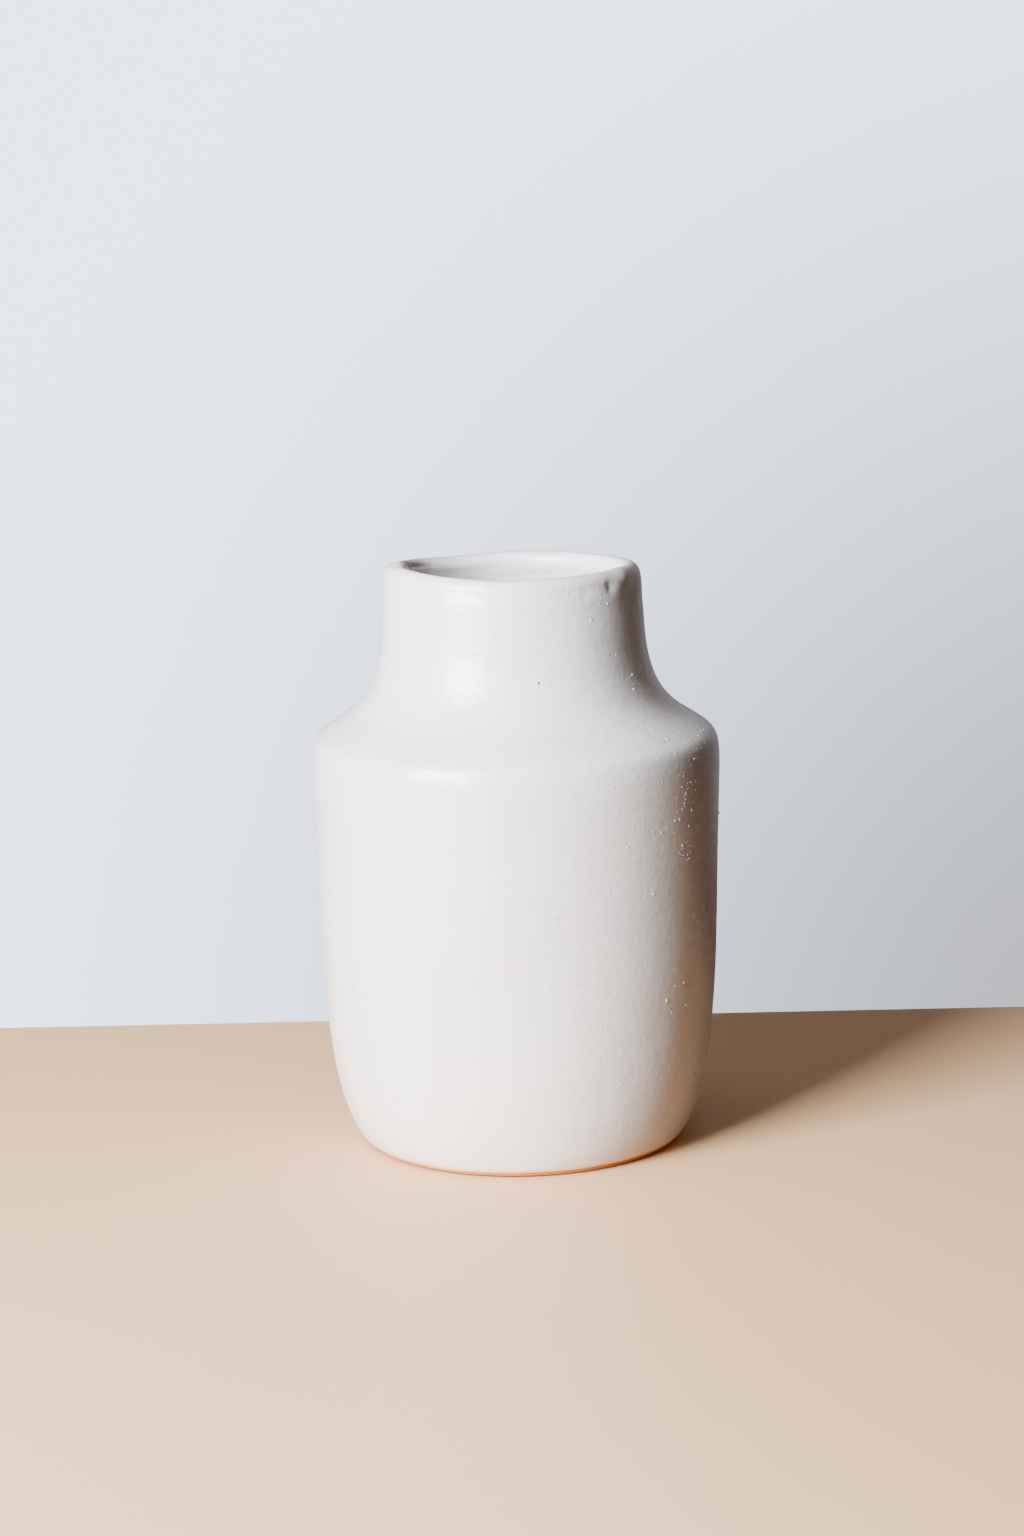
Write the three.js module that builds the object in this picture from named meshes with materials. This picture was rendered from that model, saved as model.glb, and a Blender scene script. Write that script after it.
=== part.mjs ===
// A wheel-thrown stoneware vase: a bare clay body with a turned foot, a liner glaze inside it, and an
// outer glaze that runs from a line just above the foot, up the outside and over the lip.
// Millimetres, +Z up, with the origin at the centre of the ring that the foot stands on.

import * as THREE from "three";

// Finished, glazed surface.
const HEIGHT = 213.5;
const HEEL_TOP = { radius: 73.2, height: 75.5 }; // where the curved heel becomes the straight wall
const BELLY = { radius: 74.9, height: 136 }; // the widest place, just under the shoulder
const SHOULDER = { radius: 68.5, height: 155.5 }; // where the shoulder turns into the neck's flare
const NECK = { radius: 48.2, height: 190.9 }; // where the flare becomes the straight neck
const NECK_TOP = { radius: 47.3, height: 204 }; // where the lip begins to turn in
const WALL = 6.4; // clay and both glazes together

// Handles of the curves between those places: the first one's radius and height, then the second's.
const HEEL_HANDLES = [68.3, 12.4, 72, 36.2];
const BELLY_HANDLES = [75.4, 152, 73.8, 151.9];
const FLARE_HANDLES = [60.4, 161.1, 49.5, 164.9];

// Lip: half an ellipse over the top of the neck wall.
const LIP_RADIUS = 43.1; // to its crest
const LIP_HALF_WIDTH = 3.3;
const LIP_RISE = 3.8;
const LIP_STEPS = 6;

// Inside of the floor.
const FLOOR_HEIGHT = 10;
const FLOOR_RADIUS = 44;
const FLOOR_HANDLES = [66.2, 38, 64.5, FLOOR_HEIGHT]; // down the inside of the heel

// Bare foot, hollowed underneath so that the vase stands on a ring.
const FOOT_RADIUS = 58;
const FOOT_RING_WIDTH = 9;
const FOOT_HOLLOW = 2;
const FOOT_BEVEL = 0.6;

// Glaze.
const GLAZE = 0.7; // thickness of each coat
const CLEARANCE = 0.3; // between a coat and the clay, and between the two coats
const GLAZE_LINE = { radius: 59.6, height: 1.4 }; // lower edge of the outer coat
const OVERLAP = 12; // how far the outer coat comes down inside the mouth

const CURVE_STEPS = 5; // along each curved stretch of the outline
const SEGMENTS = 48; // round the axis

const point = (radius, height) => new THREE.Vector2(radius, height);

// Outside of the finished surface, from the glaze line up to the lip.
function outerOutline() {
  return new THREE.Path()
    .moveTo(GLAZE_LINE.radius, GLAZE_LINE.height)
    .bezierCurveTo(...HEEL_HANDLES, HEEL_TOP.radius, HEEL_TOP.height)
    .lineTo(BELLY.radius, BELLY.height)
    .bezierCurveTo(...BELLY_HANDLES, SHOULDER.radius, SHOULDER.height)
    .bezierCurveTo(...FLARE_HANDLES, NECK.radius, NECK.height)
    .lineTo(NECK_TOP.radius, NECK_TOP.height)
    .getPoints(CURVE_STEPS);
}

// Over the lip, from its outer side to its inner side.
function lipOutline() {
  return Array.from({ length: LIP_STEPS + 1 }, (_, i) => {
    const turn = (Math.PI * i) / LIP_STEPS;
    const radius = LIP_RADIUS + LIP_HALF_WIDTH * Math.cos(turn);
    return point(radius, HEIGHT - LIP_RISE + LIP_RISE * Math.sin(turn));
  });
}

// Unit vector square to the way from one point to the next, on its left.
function leftOf(from, to) {
  const along = to.clone().sub(from).normalize();
  return point(-along.y, along.x);
}

// A line moved to its left by a distance, with mitred corners.
function moved(line, distance) {
  const last = line.length - 1;
  return line.map((here, i) => {
    const before = leftOf(line[Math.max(i - 1, 0)], line[Math.max(i, 1)]);
    const after = leftOf(line[Math.min(i, last - 1)], line[Math.min(i + 1, last)]);
    const mitre = distance / (1 + before.dot(after));
    return here.clone().addScaledVector(before.add(after), mitre);
  });
}

// Inside of the wall, from just under the lip down to the top of the heel.
function innerWall(outside) {
  const wall = outside.filter((p) => p.y >= HEEL_TOP.height && p.y < HEIGHT - OVERLAP);
  return moved(wall, WALL).reverse();
}

// Inside of the heel and the floor, down from the wall and in to the axis.
function innerFloor(heelTop) {
  return new THREE.Path()
    .moveTo(heelTop.x, heelTop.y)
    .bezierCurveTo(...FLOOR_HANDLES, FLOOR_RADIUS, FLOOR_HEIGHT)
    .lineTo(0, FLOOR_HEIGHT)
    .getPoints(CURVE_STEPS)
    .slice(1);
}

const outside = outerOutline();
const wallInside = innerWall(outside);
const inside = [...wallInside, ...innerFloor(wallInside.at(-1))];
const meeting = point(NECK_TOP.radius - WALL, HEIGHT - OVERLAP); // of the two coats
const outerSkin = [...outside, ...lipOutline(), meeting];
const linerSkin = [meeting.clone().setY(meeting.y - CLEARANCE), ...inside];

function turned(name, profile, look) {
  const geometry = new THREE.LatheGeometry(profile, SEGMENTS);
  geometry.rotateX(Math.PI / 2);
  const mesh = new THREE.Mesh(geometry, new THREE.MeshStandardMaterial(look));
  mesh.name = name;
  return mesh;
}

// The fired clay: floor, wall, shoulder, neck, lip and foot in one piece.
function clayBody() {
  const ringInside = FOOT_RADIUS - FOOT_RING_WIDTH;
  const foot = [
    point(0, FOOT_HOLLOW),
    point(ringInside - FOOT_HOLLOW, FOOT_HOLLOW),
    point(ringInside, 0),
    point(FOOT_RADIUS, 0),
    point(FOOT_RADIUS + FOOT_BEVEL, FOOT_BEVEL),
  ];
  const clay = moved([...outerSkin, ...inside], GLAZE + CLEARANCE);
  return turned("clay_body", [...foot, ...clay], { color: 0xcf9a6c, roughness: 0.85 });
}

// A coat of glaze under a stretch of the finished surface.
function glazeCoat(name, skin) {
  const back = moved(skin, GLAZE).reverse();
  const reachesAxis = skin.at(-1).x === 0;
  const seam = reachesAxis ? [] : [back[0]];
  return turned(name, [...back, ...skin, ...seam], { color: 0xebe8e3, roughness: 0.4 });
}

const vase = new THREE.Group();
vase.add(clayBody());
vase.add(glazeCoat("outer_glaze", outerSkin));
vase.add(glazeCoat("liner_glaze", linerSkin));

export default vase;
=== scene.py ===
"""A wheel-thrown stoneware vase in an off-white satin glaze, on a plain bench in a pale room.

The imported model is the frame. Its clay body and its two glaze coats are each replaced by a fine mesh
of the same section, with the small unevenness of a pot that was thrown, dipped and fired.
Blender's units are metres. The section is worked out in millimetres, and MM turns it into metres.
Angles round the vase are in degrees from its front (-Y), towards its right (+X).
"""

import math
import random

import bpy
import numpy as np
from mathutils import Matrix, Vector, noise


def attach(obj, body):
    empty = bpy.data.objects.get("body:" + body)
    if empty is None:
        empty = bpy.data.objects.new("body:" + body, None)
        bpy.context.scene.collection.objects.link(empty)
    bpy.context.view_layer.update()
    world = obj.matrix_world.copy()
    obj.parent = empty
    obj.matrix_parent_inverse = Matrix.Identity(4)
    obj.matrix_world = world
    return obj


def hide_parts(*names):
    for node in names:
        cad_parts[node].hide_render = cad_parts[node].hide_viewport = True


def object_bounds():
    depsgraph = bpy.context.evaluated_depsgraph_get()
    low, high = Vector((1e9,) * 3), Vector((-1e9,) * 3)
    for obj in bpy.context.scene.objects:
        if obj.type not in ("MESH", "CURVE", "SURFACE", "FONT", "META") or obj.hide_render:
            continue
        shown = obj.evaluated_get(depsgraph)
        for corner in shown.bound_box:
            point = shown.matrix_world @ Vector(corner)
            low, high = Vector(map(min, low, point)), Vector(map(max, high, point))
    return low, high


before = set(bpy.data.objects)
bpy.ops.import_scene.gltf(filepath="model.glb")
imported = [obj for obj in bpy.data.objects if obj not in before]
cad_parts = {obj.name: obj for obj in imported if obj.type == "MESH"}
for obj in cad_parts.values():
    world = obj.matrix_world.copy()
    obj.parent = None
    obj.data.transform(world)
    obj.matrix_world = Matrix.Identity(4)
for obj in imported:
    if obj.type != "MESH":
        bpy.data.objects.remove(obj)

cad_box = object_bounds()

MM = 0.001
HEIGHT = cad_box[1].z / MM

# The glazed surface in section, as (radius, height), the same as in the CAD model.
GLAZE_LINE = (59.6, 1.4)
HEEL_TOP = (73.2, 75.5)  # where the curved heel becomes the straight wall
BELLY = (74.9, 136)  # the widest place
SHOULDER = (68.5, 155.5)  # where the shoulder turns into the neck's flare
NECK = (48.2, 190.9)  # where the flare becomes the straight neck
NECK_TOP = (47.3, 204)
WALL = 6.4
FLOOR_HEIGHT = 10
FLOOR_RADIUS = 44
OVERLAP = 12  # how far the outer coat comes down inside the mouth

# Handles of the curves between those places.
HEEL_HANDLES = ((68.3, 12.4), (72, 36.2))
BELLY_HANDLES = ((75.4, 152), (73.8, 151.9))
FLARE_HANDLES = ((60.4, 161.1), (49.5, 164.9))
FLOOR_HANDLES = ((66.2, 38), (64.5, FLOOR_HEIGHT))  # down the inside of the heel

# Lip: half an ellipse, joined to the neck by a curve on each side of the wall.
LIP_RADIUS = 43.1  # to its crest
LIP_HALF_WIDTH = 3.3
LIP_RISE = 3.8
LIP_FOOT_HANDLE = 208  # height of the curve's handle beside the ellipse
NECK_HANDLE = 206.5  # height of its handle beside the neck
NECK_LEAN = 0.2  # how far the neck leans in up to that handle

# Glaze and clay.
GLAZE = 0.7
GLAZE_EDGE = 0.4  # where a coat thins out at its open edge
CLAY_DEPTH = 1.0  # of the clay under the glazed surface
FULL_GLAZE = 4  # how far from its open edge a coat reaches its full thickness
LINER_TUCK = 0.8  # how far the liner goes up behind the outer coat's edge
FOOT_RADIUS = 58
FOOT_RING_WIDTH = 9
FOOT_HOLLOW = 2
FOOT_EDGE = (FOOT_RADIUS + 0.9, 0.9)  # top of the worn edge of the foot
CLAY_LINE = (59.2, 2.1)  # where the bare clay goes in under the glaze

# Fineness of the meshes.
SEGMENTS = 288
SKIN_ROW = 1.35  # between rows of faces on the skin
LINER_ROW = SKIN_ROW * 1.3
BACK_ROW = 4.5  # between rows where a coat or the clay is hidden
LIP_FINENESS = 3  # times closer together over the lip
LIP_REACH = 8  # how far from the crest the rows are closer together

# Camera, at the photograph's viewing angle, in metres.
CAMERA_AT = Vector((-0.0013, -1.1643, 0.3599))
CAMERA_PITCH = math.radians(10.78)
CAMERA_ROLL = math.radians(-1.2)
CAMERA_LENS = 75.5

# The room's glow where it is bright and where it is dim in the vase's painted shadow, and in metres
# where and how far that painted shadow reaches.
ROOM_BRIGHT = (2.6, 3.0, 3.8)
ROOM_SHADOW = (0.52, 0.56, 0.64)
ROOM_SHADOW_SPOT = (0.85, 2.5, -0.75)
ROOM_SHADOW_REACH = (0.25, 1.7)

random.seed(7)


# ------------------------------------------------------------------ the skin's section

def smooth(x, low, high):
    t = np.clip((x - low) / (high - low), 0, 1)
    return t * t * (3 - 2 * t)


def straight(start, end, steps=200):
    """Points from start to end, without the last."""
    t = np.linspace(0, 1, steps, endpoint=False)[:, None]
    return (1 - t) * np.array(start) + t * np.array(end)


def bend(start, handle_a, handle_b, end, steps=600):
    """Points along a Bezier curve, without the last."""
    t = np.linspace(0, 1, steps, endpoint=False)[:, None]
    a, b, c, d = (np.array(p, float) for p in (start, handle_a, handle_b, end))
    return (1 - t) ** 3 * a + 3 * (1 - t) ** 2 * t * b + 3 * (1 - t) * t**2 * c + t**3 * d


def inward(line):
    """Unit vectors into the wall, on the left of the way along the line."""
    along = np.gradient(line, axis=0)
    along /= np.linalg.norm(along, axis=1)[:, None]
    return np.stack([-along[:, 1], along[:, 0]], axis=1)


def lengths(line):
    """How far along the line each of its points is."""
    return np.concatenate([[0], np.cumsum(np.linalg.norm(np.diff(line, axis=0), axis=1))])


def outside_line():
    """From the glaze line up to where the neck meets the lip."""
    return np.vstack([
        bend(GLAZE_LINE, *HEEL_HANDLES, HEEL_TOP),
        straight(HEEL_TOP, BELLY),
        bend(BELLY, *BELLY_HANDLES, SHOULDER),
        bend(SHOULDER, *FLARE_HANDLES, NECK),
        straight(NECK, NECK_TOP),
    ])


def lip_line():
    """Up the outside of the lip, over it, and down to the neck's inner wall."""
    outer_foot = (LIP_RADIUS + LIP_HALF_WIDTH, HEIGHT - LIP_RISE)
    inner_foot = (LIP_RADIUS - LIP_HALF_WIDTH, HEIGHT - LIP_RISE)
    turn = np.linspace(0, math.pi, 300)[:, None]
    radius = LIP_RADIUS + LIP_HALF_WIDTH * np.cos(turn)
    height = HEIGHT - LIP_RISE + LIP_RISE * np.sin(turn)
    inner_neck = (NECK_TOP[0] - WALL, NECK_TOP[1])
    outer_handle = (NECK_TOP[0] - NECK_LEAN, NECK_HANDLE)
    inner_handle = (inner_neck[0] - NECK_LEAN, NECK_HANDLE)
    return np.vstack([
        bend(NECK_TOP, outer_handle, (outer_foot[0], LIP_FOOT_HANDLE), outer_foot),
        np.hstack([radius, height])[:-1],
        bend(inner_foot, (inner_foot[0], LIP_FOOT_HANDLE), inner_handle, inner_neck),
    ])


def inside_line(outside):
    """From inside the neck down the wall, round the heel and in to the middle of the floor."""
    wall = outside[outside[:, 1] >= HEEL_TOP[1]]
    inner = (wall + WALL * inward(wall))[::-1]
    floor_edge = (FLOOR_RADIUS, FLOOR_HEIGHT)
    return np.vstack([
        inner,
        bend(inner[-1], *FLOOR_HANDLES, floor_edge)[1:],
        straight(floor_edge, (0, FLOOR_HEIGHT)),
        [(0, FLOOR_HEIGHT)],
    ])


OUTSIDE = outside_line()
SKIN = np.vstack([OUTSIDE, lip_line(), inside_line(OUTSIDE)])
INTO_WALL = inward(SKIN)
ALONG = lengths(SKIN)

# Places along the skin.
SKIN_END = ALONG[-1]
CREST = ALONG[np.argmax(SKIN[:, 1])]
past_overlap = (ALONG > CREST) & (SKIN[:, 1] < HEIGHT - OVERLAP)
MEETING = ALONG[np.argmax(past_overlap)]  # of the two coats


def along_at(height):
    """The place along the skin that is at a height on the outside."""
    rising = ALONG <= CREST
    return np.interp(height, SKIN[rising, 1], ALONG[rising])


def places(start, end, spacing):
    """Places from start to end along the skin, closer together over the lip."""
    fine = np.linspace(start, end, 4000)
    closeness = 1 + (LIP_FINENESS - 1) * np.exp(-(((fine - CREST) / LIP_REACH) ** 2))
    count = np.cumsum(closeness)
    rows = max(2, round(count[-1] * (fine[1] - fine[0]) / spacing))
    return np.interp(np.linspace(count[0], count[-1], rows), count, fine)


# ------------------------------------------------------------------ a thrown pot's unevenness

# Finger marks just under the rim: angle, height, half width, half height, rise.
RIM_MARKS = [
    (48, 208.3, 1.4, 2.0, -0.55),
    (54, 208, 2.4, 2.2, 0.25),
    (34, 207.5, 2.6, 1.6, -0.16),
    (60, 210, 5, 3, 0.7),
    (63, 204, 6, 3, -0.4),
    (84, 208.5, 9, 3.5, 0.6),
    (-86, 209, 9, 3, 0.35),
    (-35, 207, 7, 3, 0.1),
    (140, 208, 4, 3, -0.3),
    (205, 207, 5, 3, 0.2),
]

# Where the lip is thicker inside: angle, height, half width, half height, rise.
LIP_MARKS = [(-84, 210.5, 9, 6, 2.6)]

# Where the rim stands above or below true: angle, spread in degrees, lift.
RIM_WAVES = [(-68, 36, 1.7), (-3, 12, -0.45), (64, 26, 0.6), (150, 50, -0.3), (-150, 24, -1.0)]
RIM_WAVES_START = 190  # the height that they begin at

# Lumps and throwing rings.
BROAD_LUMP, BROAD_RISE = 38, 0.2  # size and rise
FINE_LUMP, FINE_RISE = 11, 0.06
RING_PITCH = 6.5
RING_RISE = 0.02
INNER_RING_RISE = 0.16  # added to it on the inside
RING_WANDER, RING_WANDER_SIZE = 0.3, 30  # in rings, and in millimetres
TRUE_BELOW = 14  # the first stretch along the skin, which the unevenness fades into

# A faint ledge round the front where the neck meets the lip: angle, spread in degrees, rise.
LEDGE = (12, 26, 0.2)
LEDGE_HEIGHTS = (202.6, 204.2)

# The hollow under the inside of the lip: height, half height, depth.
UNDERCUT = (203.5, 4, 0.8)


def around(angle, centre):
    """Degrees from a direction, between -180 and 180."""
    return (angle - centre + 180) % 360 - 180


def bell(x, width):
    return np.exp(-((x / width) ** 2))


def soft_noise(points, size, seed):
    """Smooth noise with lumps of about the given size."""
    shift = Vector((seed * 11.3, seed * 7.7, seed * 3.1))
    flat = points.reshape(-1, 3) / size
    return np.array([noise.noise(Vector(p) + shift) for p in flat]).reshape(points.shape[:-1])


def swelling(points, angle, along, radius, height):
    """How far the skin stands proud of a true turned one."""
    inside = smooth(along, CREST, CREST + 8)
    broad = BROAD_RISE * soft_noise(points, BROAD_LUMP, 1)
    lumps = broad + FINE_RISE * soft_noise(points, FINE_LUMP, 2)
    turns = height / RING_PITCH + angle / 360 + RING_WANDER * soft_noise(points, RING_WANDER_SIZE, 3)
    rings = (RING_RISE + INNER_RING_RISE * inside) * np.sin(2 * np.pi * turns)
    rise = (lumps + rings) * smooth(along, 0, TRUE_BELOW)
    inner_lip = smooth(along, CREST - 1, CREST + 3)
    for side, marks in ((1 - inside, RIM_MARKS), (inner_lip, LIP_MARKS)):
        for mark_angle, mark_height, half_width, half_height, mark in marks:
            across = np.radians(around(angle, mark_angle)) * radius / half_width
            rise = rise + side * mark * bell(across, 1) * bell(height - mark_height, half_height)
    ledge_angle, ledge_spread, ledge_rise = LEDGE
    ledge = smooth(height, *LEDGE_HEIGHTS) * bell(around(angle, ledge_angle), ledge_spread)
    undercut_height, undercut_half_height, undercut_depth = UNDERCUT
    undercut = bell(height - undercut_height, undercut_half_height)
    return rise + (1 - inside) * ledge_rise * ledge - inside * undercut_depth * undercut


def rim_lift(angle, height):
    """The rim isn't quite level: how far it stands above true."""
    wave = sum(lift * bell(around(angle, middle), spread) for middle, spread, lift in RIM_WAVES)
    return wave * smooth(height, RIM_WAVES_START, HEIGHT)


def edge_waver(angle, along):
    """The glaze's lower edge wanders up and down a little."""
    turn = np.radians(angle)
    wave = 0.15 * np.sin(3 * turn + 0.6) + 0.1 * np.sin(7 * turn + 2.1) + 0.07 * np.sin(17 * turn)
    thin = 0.4 + 0.3 * bell(around(angle, 38), 40)
    return (wave + thin) * (1 - smooth(along, 1, 8))


def surface(angle, along, depth, waver=0.0):
    """Points on the skin, or at a depth under it, in metres. Takes arrays that go together."""
    turn = np.radians(angle)
    along = along + waver * edge_waver(angle, along)
    radius = np.interp(along, ALONG, SKIN[:, 0])
    height = np.interp(along, ALONG, SKIN[:, 1])
    into_radius = np.interp(along, ALONG, INTO_WALL[:, 0])
    into_height = np.interp(along, ALONG, INTO_WALL[:, 1])
    true = np.stack(np.broadcast_arrays(radius * np.sin(turn), -radius * np.cos(turn), height), -1)
    sink = depth - swelling(true, angle, along, radius, height)
    r = radius + into_radius * sink
    z = height + into_height * sink + rim_lift(angle, height)
    return np.stack(np.broadcast_arrays(r * np.sin(turn), -r * np.cos(turn), z), -1) * MM


# ------------------------------------------------------------------ meshes

ANGLES = np.arange(SEGMENTS) * 360 / SEGMENTS


def turned_mesh(rows, poles=()):
    """Vertices and faces of rows of points round the axis. Two poles close the first and the last
    row. Without them the last row joins the first."""
    count = len(rows)
    vertices = rows.reshape(-1, 3).tolist()
    faces = []
    for i in range(count - 1 if poles else count):
        low = i * SEGMENTS
        high = (i + 1) % count * SEGMENTS
        for j in range(SEGMENTS):
            k = (j + 1) % SEGMENTS
            faces.append((low + j, low + k, high + k, high + j))
    for pole, row, turn in zip(poles, (0, count - 1), (1, -1)):
        centre = len(vertices)
        vertices.append(pole)
        for j in range(SEGMENTS):
            k = (j + 1) % SEGMENTS
            faces.append((row * SEGMENTS + k, row * SEGMENTS + j, centre)[::turn])
    return vertices, faces


def make_piece(name, vertices, faces, material, slot, *nodes):
    """A piece that rides on the vase and stands for the CAD nodes."""
    mesh = bpy.data.meshes.new(name)
    mesh.from_pydata(vertices, [], faces)
    mesh.shade_smooth()
    mesh.materials.append(material)
    piece = bpy.data.objects.new(name, mesh)
    bpy.context.scene.collection.objects.link(piece)
    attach(piece, "root")
    if nodes:
        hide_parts(*nodes)


def curl(distance, thickness):
    """How deep the skin lies near an open edge that is rounded over its whole thickness."""
    t = np.clip(distance / thickness, 0, 1)
    return thickness * (1 - np.sqrt(1 - (1 - t) ** 2))


def curl_places(thickness):
    """Distances from an open edge for the rows that round it."""
    return thickness * (1 - np.cos(np.linspace(0, math.pi / 2, 6)))[:-1]


def outer_coat():
    """From its rounded lower edge, up the outside and over the lip, and back under its own skin."""
    rounding = curl_places(GLAZE_EDGE)
    middle = places(GLAZE_EDGE, MEETING - GLAZE_EDGE, SKIN_ROW)
    front = np.concatenate([rounding, middle, (MEETING - rounding)[::-1]])[:, None]
    back = places(0, MEETING, BACK_ROW)[1:-1][::-1, None]
    from_edge = np.minimum(back, MEETING - back)
    thickness = GLAZE_EDGE + (GLAZE - GLAZE_EDGE) * smooth(from_edge, 0, FULL_GLAZE)
    front_depth = curl(front, GLAZE_EDGE) + curl(MEETING - front, GLAZE_EDGE)
    rows = surface(
        ANGLES[None, :],
        np.concatenate([back, front]),
        np.concatenate([thickness, front_depth]),
        waver=1.0,
    )
    return turned_mesh(rows)


def liner_coat():
    """From under the outer coat's edge inside the neck down to the middle of the floor."""
    start = MEETING - LINER_TUCK
    front = places(start, SKIN_END - 1, LINER_ROW)[:, None]
    back = places(start, SKIN_END - 1, BACK_ROW)[::-1, None]
    tucked = (GLAZE_EDGE + 0.05) * (1 - smooth(front, MEETING - 0.1, MEETING + 2))
    rows = surface(
        ANGLES[None, :],
        np.concatenate([back, front]),
        np.concatenate([np.full_like(back, GLAZE), tucked]),
    )
    poles = [(0, 0, (FLOOR_HEIGHT - GLAZE) * MM), (0, 0, FLOOR_HEIGHT * MM)]
    return turned_mesh(rows, poles)


def foot_line():
    """The bare foot in section: out along its hollow, over the ring, and up to the glaze."""
    ring_inside = FOOT_RADIUS - FOOT_RING_WIDTH
    hollow = np.linspace(1.2, ring_inside - 3, 60)
    tool_marks = 0.05 * np.sin(2 * np.pi * hollow / 2.4) + 0.5 * (1 - hollow / ring_inside) ** 2
    return np.vstack([
        np.stack([hollow, FOOT_HOLLOW + tool_marks], axis=1),
        bend((ring_inside - 2.5, FOOT_HOLLOW), (ring_inside - 1, FOOT_HOLLOW), (ring_inside - 0.6, 0),
             (ring_inside + 0.8, 0), 8),
        straight((ring_inside + 0.8, 0), (FOOT_RADIUS - 1, 0), 6),
        bend((FOOT_RADIUS - 1, 0), (FOOT_RADIUS - 0.2, 0), (FOOT_RADIUS + 0.5, 0.3), FOOT_EDGE, 6),
        straight(FOOT_EDGE, CLAY_LINE, 7),
        [CLAY_LINE, (CLAY_LINE[0] + 0.2, CLAY_LINE[1] + 0.7)],
    ])


def clay():
    """The foot, then the clay under both coats, all the way to the middle of the floor."""
    foot = foot_line()
    turn = np.radians(ANGLES)[None, :]
    radius, height = foot[:, :1], foot[:, 1:] * np.ones_like(turn)
    foot_rows = np.stack([radius * np.sin(turn), -radius * np.cos(turn), height], -1) * MM
    under_glaze = places(6, SKIN_END - 1, BACK_ROW)[:, None]
    body_rows = surface(ANGLES[None, :], under_glaze, CLAY_DEPTH)
    poles = [(0, 0, (FOOT_HOLLOW + 0.5) * MM), (0, 0, (FLOOR_HEIGHT - CLAY_DEPTH) * MM)]
    return turned_mesh(np.concatenate([foot_rows, body_rows]), poles)


# ------------------------------------------------------------------ blebs in the glaze

BLEB_RINGS = 5
BLEB_SIDES = 12
BLEB_EDGE_SINK = 0.012  # how far its edge lies under the skin
BLEB_ROOT = 0.15  # how far its closed underside goes down
PINHOLE_RISE = 0.08
SMALLEST_BLEB = 0.16  # half width of a sprinkled one
LARGEST_SPRINKLED = 0.45

# The largest, where grit in the clay lifts the glaze: angle, height, half width, rise, tallness.
LARGE_BLEBS = [
    (31, 121.2, 0.5, 0.26, 1.0),
    (46, 62.2, 0.75, 0.32, 1.3),
    (48.5, 57, 0.45, 0.24, 1.2),
    (56.5, 129.6, 0.55, 0.34, 1.2),
    (51.5, 139, 0.4, 0.28, 1.1),
    (53.5, 136, 0.35, 0.24, 1.3),
    (48.5, 127.5, 0.42, 0.29, 1.4),
    (50.5, 127.5, 0.4, 0.27, 1.4),
    (52, 130.7, 0.35, 0.24, 1.0),
    (43, 124.4, 0.4, 0.22, 1.3),
    (52.5, 114, 0.42, 0.27, 1.2),
    (54.5, 112, 0.38, 0.26, 1.0),
    (56.5, 116.5, 0.38, 0.26, 1.1),
    (40, 102.6, 0.6, 0.22, 1.2),
    (84.5, 121.2, 0.65, 0.40, 1.0),
    (35.5, 198, 0.6, 0.28, 1.0),
    (43, 153, 0.6, 0.20, 0.8),
]

# Sprinklings of small ones: angle, height, spread round, spread up, how many.
SPRINKLINGS = [
    (54, 137, 2.5, 4, 36),
    (54, 115.5, 2.5, 3.5, 44),
    (66, 146, 5, 6, 40),
    (64, 122, 6, 14, 26),
    (50, 152, 7, 4, 10),
    (60, 172, 7, 9, 34),
    (44, 122, 3, 6, 8),
    (30, 185, 12, 12, 6),
    (62, 80, 10, 30, 26),
    (190, 110, 60, 50, 40),
    (-70, 120, 40, 45, 8),
]


# Pinholes in the glaze over dark specks of iron in the clay: angle, height, half width.
PINHOLES = [
    (10, 177.6, 0.55),
    (66.5, 28.3, 0.5),
    (70, 25, 0.35),
    (131, 96, 0.5),
    (204, 148, 0.55),
    (-118, 64, 0.5),
]


def bleb(angle, height, half_width, rise, tallness):
    """A low dome that runs out into the skin, closed underneath."""
    rings, sides = BLEB_RINGS, BLEB_SIDES
    spread = np.linspace(0, 1, rings + 1)[1:, None]
    turn = np.linspace(0, 2 * math.pi, sides, endpoint=False)[None, :]
    start = random.uniform(0, 6)
    reach = half_width * spread * (1 + 0.14 * np.sin(2 * turn + start) + 0.1 * np.sin(3 * turn))
    place = along_at(height)
    radius = np.interp(place, ALONG, SKIN[:, 0])
    angles = angle + np.degrees(reach * np.cos(turn) / radius)
    dome = rise * (1 - spread**2) ** 1.6 - BLEB_EDGE_SINK
    skin = surface(angles, place + tallness * reach * np.sin(turn), -dome * np.ones_like(turn))
    top, under = surface(np.full(2, angle), np.full(2, place), np.array([-rise, BLEB_ROOT]))
    vertices = [top, *skin.reshape(-1, 3), under]
    faces = []
    last = rings * sides + 1
    for j in range(sides):
        k = (j + 1) % sides
        faces.append((0, 1 + j, 1 + k))
        for i in range(rings - 1):
            low = 1 + i * sides
            faces.append((low + j, low + sides + j, low + sides + k, low + k))
        rim = 1 + (rings - 1) * sides
        faces.append((rim + j, last, rim + k))
    return [tuple(v) for v in vertices], faces


def sprinkled():
    """Small blebs scattered round the middle of each sprinkling."""
    for angle, height, round_spread, up_spread, count in SPRINKLINGS:
        for _ in range(count):
            half_width = min(SMALLEST_BLEB + random.expovariate(14), LARGEST_SPRINKLED)
            yield (
                random.gauss(angle, round_spread),
                min(max(random.gauss(height, up_spread), 8), 205),
                half_width,
                half_width * random.uniform(0.4, 0.7),
                random.uniform(0.9, 1.5),
            )


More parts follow.
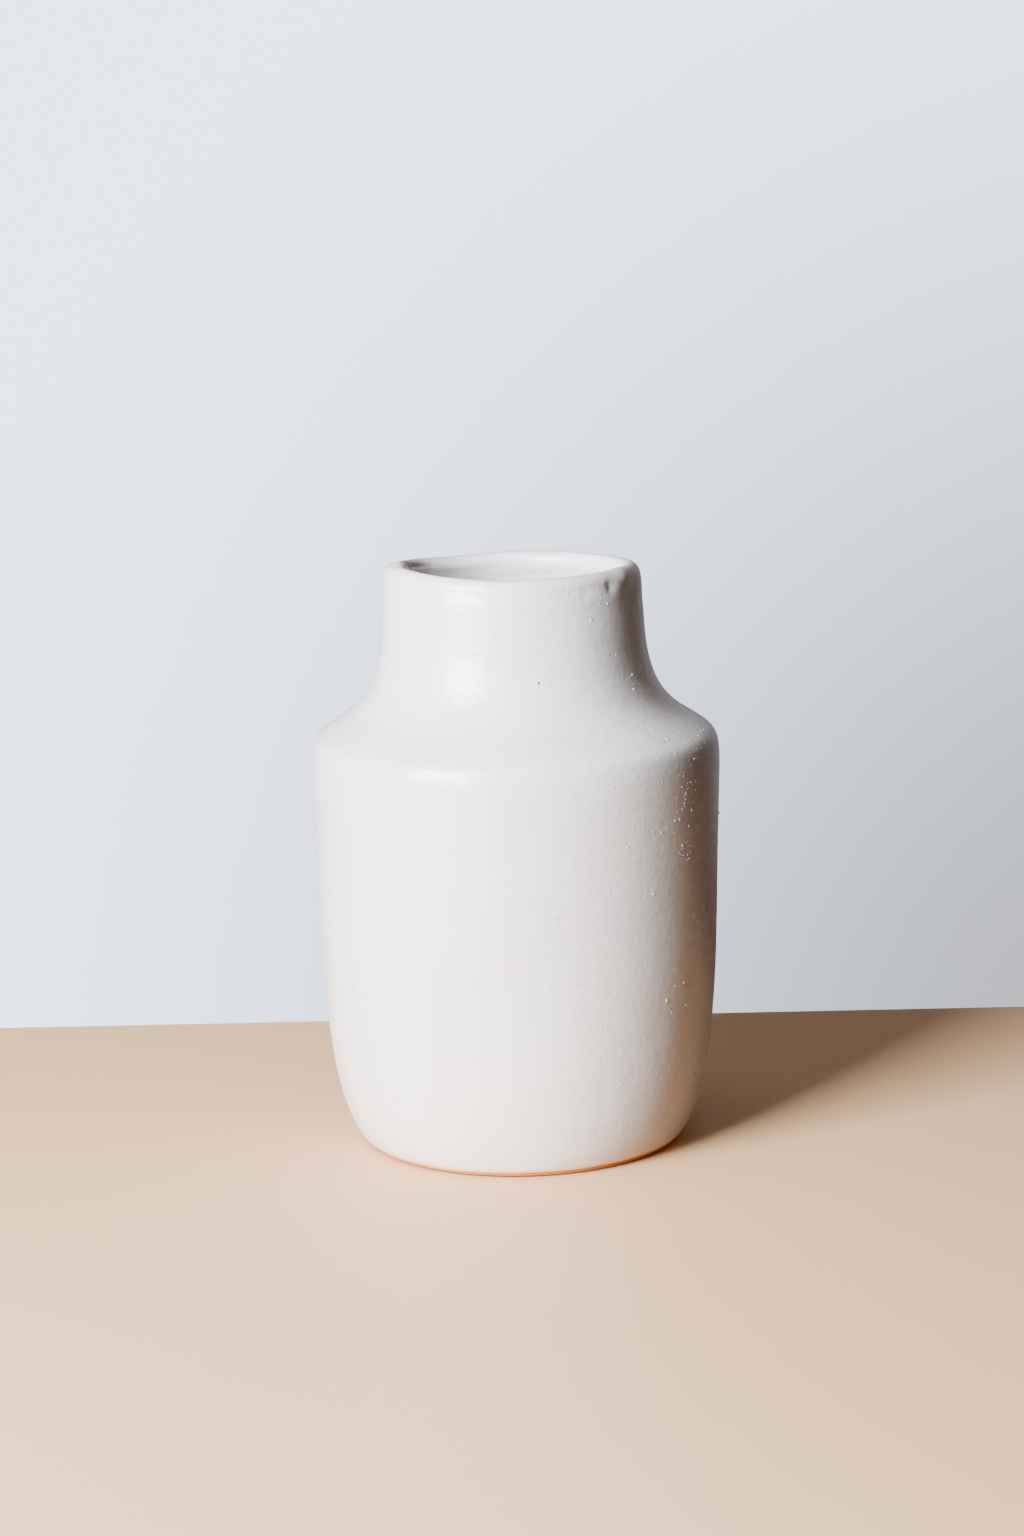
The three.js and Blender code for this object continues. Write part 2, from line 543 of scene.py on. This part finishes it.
def several(numbers_of_each):
    """Several blebs as one mesh."""
    vertices, faces = [], []
    for numbers in numbers_of_each:
        more_vertices, more_faces = bleb(*numbers)
        start = len(vertices)
        vertices.extend(more_vertices)
        faces.extend(tuple(start + v for v in face) for face in more_faces)
    return vertices, faces


# ------------------------------------------------------------------ materials

def new_material(name):
    material = bpy.data.materials.new(name)
    material.use_nodes = True
    nodes = material.node_tree.nodes
    return material, nodes, material.node_tree.links, nodes["Principled BSDF"]


def add(nodes, kind, **values):
    """A shader node with its settings and unlinked inputs."""
    node = nodes.new("ShaderNode" + kind)
    for key, value in values.items():
        if key in node.inputs:
            node.inputs[key].default_value = value
        else:
            setattr(node, key, value)
    return node


def noise_of(nodes, links, coords, scale, detail=3.0, squeeze=(1, 1, 1)):
    """A noise's value over the object, from 0 to 1."""
    mapping = add(nodes, "Mapping")
    mapping.inputs["Scale"].default_value = squeeze
    links.new(coords, mapping.inputs["Vector"])
    texture = add(nodes, "TexNoise", Scale=scale, Detail=detail)
    links.new(mapping.outputs["Vector"], texture.inputs["Vector"])
    return texture.outputs["Fac"]


def ramp(nodes, links, value, *stops):
    """A value turned into a colour, by stops of (place, colour)."""
    node = add(nodes, "ValToRGB")
    points = node.color_ramp.elements
    while len(points) < len(stops):
        points.new(0.5)
    for point, (place, colour) in zip(points, stops):
        point.position = place
        point.color = (*colour, 1)
    links.new(value, node.inputs["Fac"])
    return node.outputs["Color"]


def mix(nodes, links, share, under, over):
    """One colour over another, by a share. under and over are sockets or colours."""
    node = add(nodes, "Mix", data_type="RGBA")
    share_socket, under_socket, over_socket = node.inputs[0], node.inputs[6], node.inputs[7]
    links.new(share, share_socket)
    for socket, colour in ((under_socket, under), (over_socket, over)):
        if isinstance(colour, tuple):
            socket.default_value = (*colour, 1)
        else:
            links.new(colour, socket)
    return node.outputs[2]


def bump(nodes, links, height, distance, strength, before=None):
    node = add(nodes, "Bump", Distance=distance, Strength=strength)
    links.new(height, node.inputs["Height"])
    if before:
        links.new(before, node.inputs["Normal"])
    return node.outputs["Normal"]


def remap(nodes, links, value, low, high, to_low=0.0, to_high=1.0):
    node = add(nodes, "MapRange", interpolation_type="SMOOTHSTEP")
    for socket, number in zip(node.inputs[1:5], (low, high, to_low, to_high)):
        socket.default_value = number
    links.new(value, node.inputs["Value"])
    return node.outputs["Result"]


def distance_from(nodes, links, coords, spot):
    """How far each place is from a spot, in metres."""
    node = add(nodes, "VectorMath", operation="DISTANCE")
    links.new(coords, node.inputs[0])
    node.inputs[1].default_value = spot
    return node.outputs["Value"]


def scattered_dots(nodes, links, coords, scale, rarity):
    """Round dots of several sizes in some of the cells of a Voronoi pattern, from 0 to 1."""
    cells = add(nodes, "TexVoronoi", Scale=scale)
    links.new(coords, cells.inputs["Vector"])
    chance = add(nodes, "SeparateXYZ")
    links.new(cells.outputs["Color"], chance.inputs["Vector"])
    size = remap(nodes, links, chance.outputs["X"], rarity, 1.0, 0.0, 0.32)
    inside = add(nodes, "Math", operation="SUBTRACT", use_clamp=True)
    links.new(size, inside.inputs[0])
    links.new(cells.outputs["Distance"], inside.inputs[1])
    return remap(nodes, links, inside.outputs[0], 0.0, 0.25)


# A brown painted shade in the fold inside the lip at the left, behind where the lip is thicker: its
# middle in metres, then how far it reaches in full and at all, in millimetres.
PAINTED_SHADE_SPOT = (-0.0325, 0.0140, 0.2045)
PAINTED_SHADE_REACH = (8, 17)

# Colours of the glaze.
WARM_WHITE = (0.79, 0.75, 0.70)
COOL_WHITE = (0.80, 0.79, 0.77)
STREAK = (0.74, 0.70, 0.65)
SMUDGE = (0.40, 0.35, 0.31)
# Brown painted shade for the fold inside the lip at the left.
PAINTED_SHADE_BROWN = (0.12, 0.085, 0.075)
LIP_CREAM = (0.80, 0.73, 0.64)
EDGE_ORANGE = (0.74, 0.33, 0.08)

# Colours of the bare clay.
BUFF = ((0.55, 0.37, 0.23), (0.66, 0.47, 0.31))
TOAST = ((0.46, 0.165, 0.02), (0.56, 0.20, 0.03))
# Painted contact shadow along the lowest edge of the foot.
PAINTED_CONTACT_SHADOW = (0.045, 0.016, 0.006)
GROG = (0.36, 0.19, 0.10)


def glaze_material():
    """Off-white satin glaze: faint warm and cool clouds and runs, fawn specks, thin over the lip, a
    brown painted shade in the fold inside the lip at the left, and breaking to the toasted clay along
    its lower edge."""
    material, nodes, links, shader = new_material("satin_glaze")
    coords = add(nodes, "TexCoord").outputs["Object"]
    place = add(nodes, "SeparateXYZ")
    links.new(coords, place.inputs["Vector"])
    clouds = noise_of(nodes, links, coords, 28, 4)
    runs = noise_of(nodes, links, coords, 90, 3, (1, 1, 0.12))
    grain = noise_of(nodes, links, coords, 1700, 2)
    pits = noise_of(nodes, links, coords, 330, 4)
    turning = noise_of(nodes, links, coords, 420, 3, (0.12, 0.12, 1))
    grit = scattered_dots(nodes, links, coords, 560, 0.72)

    colour = ramp(nodes, links, clouds, (0.3, WARM_WHITE), (0.7, COOL_WHITE))
    streaks = remap(nodes, links, runs, 0.5, 0.75, 0.0, 0.4)
    colour = mix(nodes, links, streaks, colour, STREAK)

    smudges = remap(nodes, links, scattered_dots(nodes, links, coords, 150, 0.8), 0, 1, 0, 0.3)
    colour = mix(nodes, links, smudges, colour, SMUDGE)

    # Painted shade: the fold inside the lip at the left is darkened with brown, fully near its middle
    # and fading out further away.
    near, far = PAINTED_SHADE_REACH
    from_painted_shade = distance_from(nodes, links, coords, PAINTED_SHADE_SPOT)
    thin = remap(nodes, links, from_painted_shade, near * MM, far * MM, 0.85, 0.0)
    colour = mix(nodes, links, thin, colour, PAINTED_SHADE_BROWN)

    lip = remap(nodes, links, place.outputs["Z"], (HEIGHT - 1.2) * MM, HEIGHT * MM, 0.0, 0.35)
    colour = mix(nodes, links, lip, colour, LIP_CREAM)
    low_edge = remap(nodes, links, place.outputs["Z"], 1.3 * MM, 4.2 * MM, 1.0, 0.0)
    colour = mix(nodes, links, low_edge, colour, EDGE_ORANGE)
    links.new(colour, shader.inputs["Base Color"])

    shader.inputs["IOR"].default_value = 1.56
    links.new(remap(nodes, links, clouds, 0.3, 0.7, 0.25, 0.34), shader.inputs["Roughness"])
    normal = bump(nodes, links, grain, 0.05 * MM, 0.6)
    normal = bump(nodes, links, pits, 0.14 * MM, 1.0, normal)
    normal = bump(nodes, links, turning, 0.10 * MM, 1.0, normal)
    normal = bump(nodes, links, grit, 0.16 * MM, 1.0, normal)
    links.new(normal, shader.inputs["Normal"])
    return material


def pinhole_material():
    """Dark iron-stained glass."""
    material, nodes, links, shader = new_material("iron_speck")
    coords = add(nodes, "TexCoord").outputs["Object"]
    grain = noise_of(nodes, links, coords, 3000, 2)
    stain = ramp(nodes, links, grain, (0.35, (0.03, 0.02, 0.015)), (0.65, (0.09, 0.06, 0.045)))
    links.new(stain, shader.inputs["Base Color"])
    shader.inputs["Roughness"].default_value = 0.5
    return material


def clay_material():
    """Bare stoneware with fine grog: buff under the foot, a painted contact shadow along the lowest
    edge, and toasted orange beside the glaze."""
    material, nodes, links, shader = new_material("bare_stoneware")
    coords = add(nodes, "TexCoord").outputs["Object"]
    place = add(nodes, "SeparateXYZ")
    links.new(coords, place.inputs["Vector"])
    patches = noise_of(nodes, links, coords, 45, 4)
    grog = noise_of(nodes, links, coords, 1500, 2)

    buff = ramp(nodes, links, patches, (0.3, BUFF[0]), (0.7, BUFF[1]))
    toast = ramp(nodes, links, patches, (0.3, TOAST[0]), (0.7, TOAST[1]))
    # Painted contact shadow: darkest where the foot meets the bench, gone 0.12 mm up.
    painted_contact_shadow = remap(nodes, links, place.outputs["Z"], 0.0, 0.12 * MM)
    colour = mix(nodes, links, painted_contact_shadow, buff, PAINTED_CONTACT_SHADOW)
    toasted = remap(nodes, links, place.outputs["Z"], 0.65 * MM, 0.95 * MM)
    colour = mix(nodes, links, toasted, colour, toast)
    grains = remap(nodes, links, grog, 0.62, 0.72, 0.0, 0.5)
    colour = mix(nodes, links, grains, colour, GROG)
    links.new(colour, shader.inputs["Base Color"])

    links.new(remap(nodes, links, patches, 0.3, 0.7, 0.72, 0.9), shader.inputs["Roughness"])
    links.new(bump(nodes, links, grog, 0.12 * MM, 0.6), shader.inputs["Normal"])
    return material


def bench_material():
    """Pale, warm and plain, with a hint of cloud."""
    material, nodes, links, shader = new_material("bench")
    coords = add(nodes, "TexCoord").outputs["Object"]
    clouds = noise_of(nodes, links, coords, 6, 4)
    colour = ramp(nodes, links, clouds, (0.3, (0.75, 0.46, 0.24)), (0.7, (0.77, 0.47, 0.25)))
    links.new(colour, shader.inputs["Base Color"])
    shader.inputs["Roughness"].default_value = 0.6
    return material


def room_material():
    """Pale cool walls and ground that glow evenly, with the vase's soft shadow painted on them, dimmer
    low down behind the vase on its right.
    """
    material, nodes, links, shader = new_material("room")
    coords = add(nodes, "TexCoord").outputs["Object"]
    # Painted shadow of the vase on the room: the glow dims towards a spot low down behind it on its
    # right.
    from_painted_shadow = distance_from(nodes, links, coords, ROOM_SHADOW_SPOT)
    painted_shadow = remap(nodes, links, from_painted_shadow, *ROOM_SHADOW_REACH, 1.0, 0.0)
    lit = mix(nodes, links, painted_shadow, ROOM_BRIGHT, ROOM_SHADOW)
    links.new(lit, shader.inputs["Emission Color"])
    shader.inputs["Emission Strength"].default_value = 1
    shader.inputs["Base Color"].default_value = (0.3, 0.3, 0.3, 1)
    shader.inputs["Roughness"].default_value = 0.9
    return material


# ------------------------------------------------------------------ stage, camera and lights

def stage_piece(name, corners, faces, material):
    """Part of the setting. It throws no light or shadow onto the vase."""
    mesh = bpy.data.meshes.new(name)
    mesh.from_pydata(corners, [], faces)
    mesh.materials.append(material)
    piece = bpy.data.objects.new(name, mesh)
    bpy.context.scene.collection.objects.link(piece)
    piece.visible_diffuse = False
    piece.visible_shadow = False
    return piece


def make_stage():
    """A pale warm bench top in a pale cool room. Only the bench shows in the glaze's gloss."""
    room, bench_back, ground, ceiling = 2.5, 0.16, -0.75, 3
    bench = [(-room, -room, 0), (room, -room, 0), (room, bench_back, 0), (-room, bench_back, 0)]
    stage_piece("floor", bench, [(0, 1, 2, 3)], bench_material())
    corners = [
        (x, y, z)
        for z in (ground, ceiling)
        for x, y in ((-room, -room), (room, -room), (room, room), (-room, room))
    ]
    walls = [(i, (i + 1) % 4, (i + 1) % 4 + 4, i + 4) for i in range(4)]
    walls_and_ground = stage_piece("room", corners, [*walls, (0, 1, 2, 3)], room_material())
    walls_and_ground.visible_glossy = False


def make_camera():
    camera = bpy.data.objects.new("camera", bpy.data.cameras.new("camera"))
    camera.data.lens = CAMERA_LENS
    tilt = Matrix.Rotation(math.pi / 2 - CAMERA_PITCH, 4, "X")
    camera.matrix_world = Matrix.Translation(CAMERA_AT) @ tilt @ Matrix.Rotation(CAMERA_ROLL, 4, "Z")
    bpy.context.scene.collection.objects.link(camera)
    bpy.context.scene.camera = camera


def soft_light(name, angle, elevation, distance, size, power, colour):
    """A square light that faces the vase from an angle round it and an elevation above it."""
    light = bpy.data.objects.new(name, bpy.data.lights.new(name, "AREA"))
    light.data.size = size
    light.data.energy = power
    light.data.color = colour
    turn, rise = math.radians(angle), math.radians(elevation)
    flat = distance * math.cos(rise)
    target = Vector((0, 0, HEIGHT * MM / 2))
    way = Vector((flat * math.sin(turn), -flat * math.cos(turn), distance * math.sin(rise)))
    light.location = target + way
    light.rotation_euler = (target - light.location).to_track_quat("-Z", "Y").to_euler()
    light.visible_camera = False
    bpy.context.scene.collection.objects.link(light)
    return light


def floor_glow(name, x, y, size, power):
    """Some of the warm light that the bench sends up, as a light just under it."""
    light = bpy.data.objects.new(name, bpy.data.lights.new(name, "AREA"))
    light.data.size = size
    light.data.energy = power
    light.data.color = (1.0, 0.50, 0.22)
    light.location = (x, y, -0.05)
    light.rotation_euler = (math.pi, 0, 0)
    light.visible_camera = False
    light.visible_glossy = False
    bpy.context.scene.collection.objects.link(light)


def make_light():
    """A large window on the front left, weak light from the ceiling, the far wall and behind, the
    floor's glow, and dim surroundings."""
    soft_light("window", angle=-42, elevation=20, distance=1.5, size=0.7, power=134,
               colour=(0.94, 0.97, 1.04))
    soft_light("ceiling", angle=0, elevation=90, distance=1.2, size=0.6, power=1.8,
               colour=(0.92, 0.97, 1.06))
    soft_light("far_wall", angle=155, elevation=3, distance=1.5, size=0.8, power=0.8,
               colour=(0.85, 0.92, 1.10))
    back_fill = soft_light("back_fill", angle=185, elevation=0, distance=1.5, size=0.8, power=7,
                           colour=(0.95, 0.97, 1.0))
    back_fill.visible_glossy = False
    floor_glow("lit_floor", x=-0.13, y=-0.19, size=0.32, power=1.25)
    floor_glow("lit_floor_right", x=0.09, y=-0.085, size=0.08, power=0.018)
    world = bpy.data.worlds.new("surroundings")
    world.use_nodes = True
    background = world.node_tree.nodes["Background"]
    background.inputs["Color"].default_value = (0.094, 0.065, 0.054, 1)
    background.inputs["Strength"].default_value = 1.0
    bpy.context.scene.world = world


make_camera()
make_light()
make_stage()
glaze = glaze_material()
bare_clay = clay_material()
make_piece("clay", *clay(), bare_clay, "bare_clay", "clay_body")
make_piece("glaze_outside", *outer_coat(), glaze, "glaze", "outer_glaze")
make_piece("glaze_blebs", *several([*LARGE_BLEBS, *sprinkled()]), glaze, "glaze")
pinholes = [(*pinhole, PINHOLE_RISE, 1) for pinhole in PINHOLES]
make_piece("pinholes", *several(pinholes), pinhole_material(), "glaze")
make_piece("glaze_inside", *liner_coat(), glaze, "glaze", "liner_glaze")
